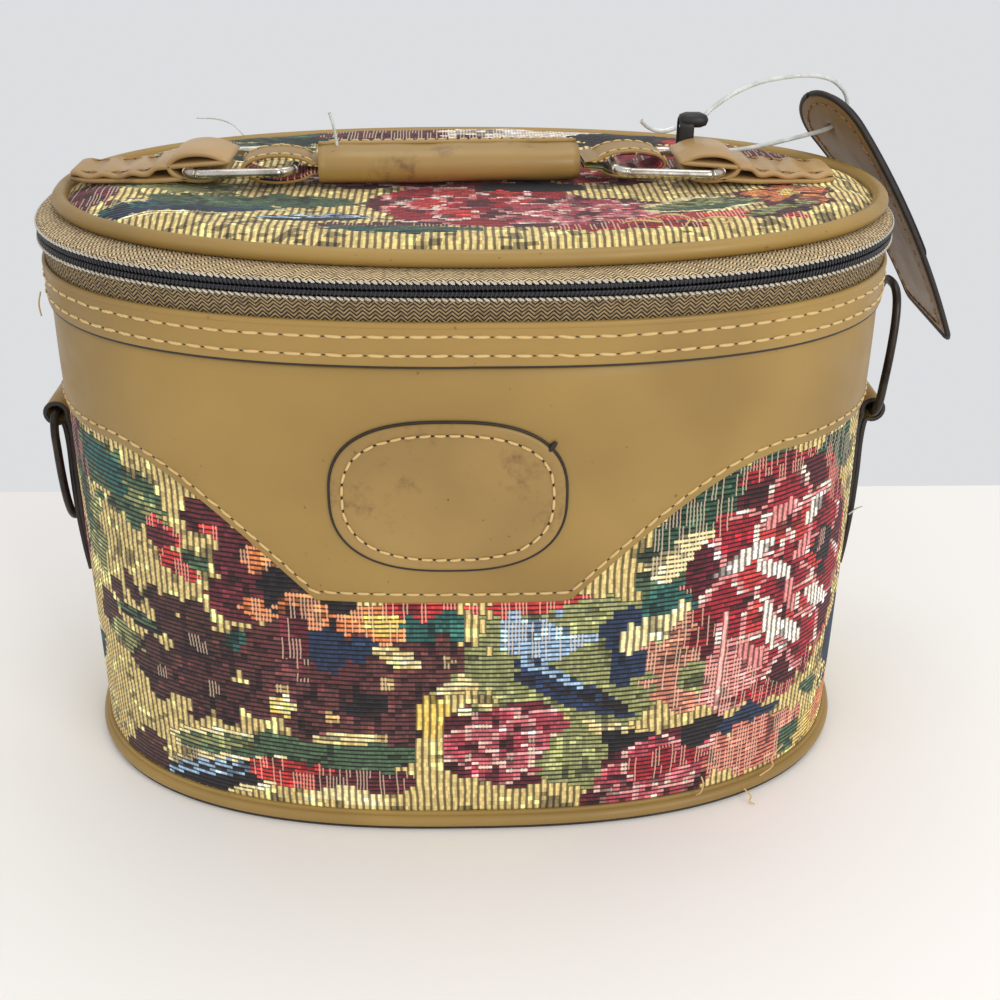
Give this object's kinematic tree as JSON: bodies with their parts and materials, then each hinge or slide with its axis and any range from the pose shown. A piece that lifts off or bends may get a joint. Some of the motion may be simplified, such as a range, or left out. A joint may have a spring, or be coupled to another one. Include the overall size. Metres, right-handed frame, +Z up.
{
  "type": "makeup train case",
  "caption": "Oval zip-top train case with tapestry walls, vinyl yoke and piping, padded hinged lid, top handle on rings, side D-rings and luggage tag.",
  "frame": {"origin": "centre of the flat underside", "axes": "+Z up, +X to the right across the case's width, the front with the oval patch faces -Y"},
  "size_m": [0.3331, 0.1921, 0.2296],
  "materials": {
    "vinyl": "ochre-tan embossed vinyl with soft wear stains",
    "tapestry": "ribbed floral jacquard tapestry weave",
    "zipper_tape": "herringbone woven tape",
    "zipper_coil": "charcoal nylon coil",
    "bright_metal": "polished wire with light tarnish",
    "dark_metal": "dark gunmetal plating",
    "lining": "plain woven lining",
    "board": "grey-brown fibreboard",
    "foam": "thin cream foam sheet",
    "mirror": "silvered glass",
    "black_leather": "black leather, satin",
    "clear_nylon": "milky clear nylon"
  },
  "bodies": {
    "case": {"base_cover": "vinyl", "base_board": "board", "bottom_piping": "vinyl", "wall_board": "board", "tapestry_wall": "tapestry", "vinyl_yoke": "vinyl", "oval_patch": "vinyl", "top_band": "vinyl", "body_lining": "lining", "lining_floor": "lining", "zipper_tape_lower": "zipper_tape", "zipper_coil_lower": "zipper_coil", "back_hinge_strip": "zipper_tape", "left_side_tab": "vinyl", "right_side_tab": "vinyl", "inner_pocket": "lining", "pocket_elastic": "lining"},
    "lid": {"zipper_coil_upper": "zipper_coil", "zipper_tape_upper": "zipper_tape", "lid_piping": "vinyl", "lid_lining": "lining", "lid_board": "board", "lid_foam": "foam", "lid_tapestry": "tapestry", "mirror": "mirror", "mirror_frame": "vinyl", "left_chape": "vinyl", "right_chape": "vinyl"},
    "handle": {"handle_grip": "vinyl", "handle_strap": "vinyl"},
    "left_handle_ring": {"left_handle_ring": "bright_metal"},
    "right_handle_ring": {"right_handle_ring": "bright_metal"},
    "left_d_ring": {"left_d_ring": "dark_metal"},
    "right_d_ring": {"right_d_ring": "dark_metal"},
    "slider": {"zipper_slider": "dark_metal", "slider_bridge": "dark_metal"},
    "zipper_pull": {"zipper_pull": "dark_metal"},
    "tag": {"luggage_tag": "vinyl", "tag_backing": "black_leather", "tag_keeper": "black_leather", "tag_loop": "clear_nylon", "tag_loop_tail": "clear_nylon"}
  },
  "joints": [
    {"name": "lid_hinge", "type": "hinge", "parent": "case", "child": "lid", "pos_m": [0, 0.096, 0.1908], "axis": [-1, 0, 0], "range_deg": [0, 105]},
    {"name": "handle_lift", "type": "slide", "parent": "lid", "child": "handle", "axis": [0, 0, 1], "range_m": [0, 0.0175]},
    {"name": "left_ring_turn", "type": "hinge", "parent": "lid", "child": "left_handle_ring", "pos_m": [-0.092, 0, 0.2049], "axis": [0, -1, 0], "range_deg": [0, 32.1]},
    {"name": "right_ring_turn", "type": "hinge", "parent": "lid", "child": "right_handle_ring", "pos_m": [0.084, 0, 0.2049], "axis": [0, 1, 0], "range_deg": [0, 32.1]},
    {"name": "left_d_ring_swing", "type": "hinge", "parent": "case", "child": "left_d_ring", "pos_m": [-0.1455, 0, 0.1195], "axis": [0, 1, 0], "range_deg": [0, 170]},
    {"name": "right_d_ring_swing", "type": "hinge", "parent": "case", "child": "right_d_ring", "pos_m": [0.1455, 0, 0.1195], "axis": [0, 1, 0], "range_deg": [0, 174]},
    {"name": "slider_run", "type": "hinge", "parent": "case", "child": "slider", "pos_m": [-0.028, 0, 0.1908], "axis": [0, 0, 1], "range_deg": [0, 48]},
    {"name": "pull_swing", "type": "hinge", "parent": "slider", "child": "zipper_pull", "pos_m": [-0.13437, 0.05188, 0.1925], "axis": [0.4384, 0.8988, 0], "range_deg": [0, 80]},
    {"name": "tag_swing", "type": "hinge", "parent": "lid", "child": "tag", "pos_m": [0.076, 0.017, 0.2051], "axis": [0, 0, 1], "range_deg": [0, 14]}
  ],
  "couplings": [
    {"joint": "left_ring_turn", "follows": "handle_lift", "rad_per_m": 31.9},
    {"joint": "right_ring_turn", "follows": "handle_lift", "rad_per_m": 31.9}
  ]
}
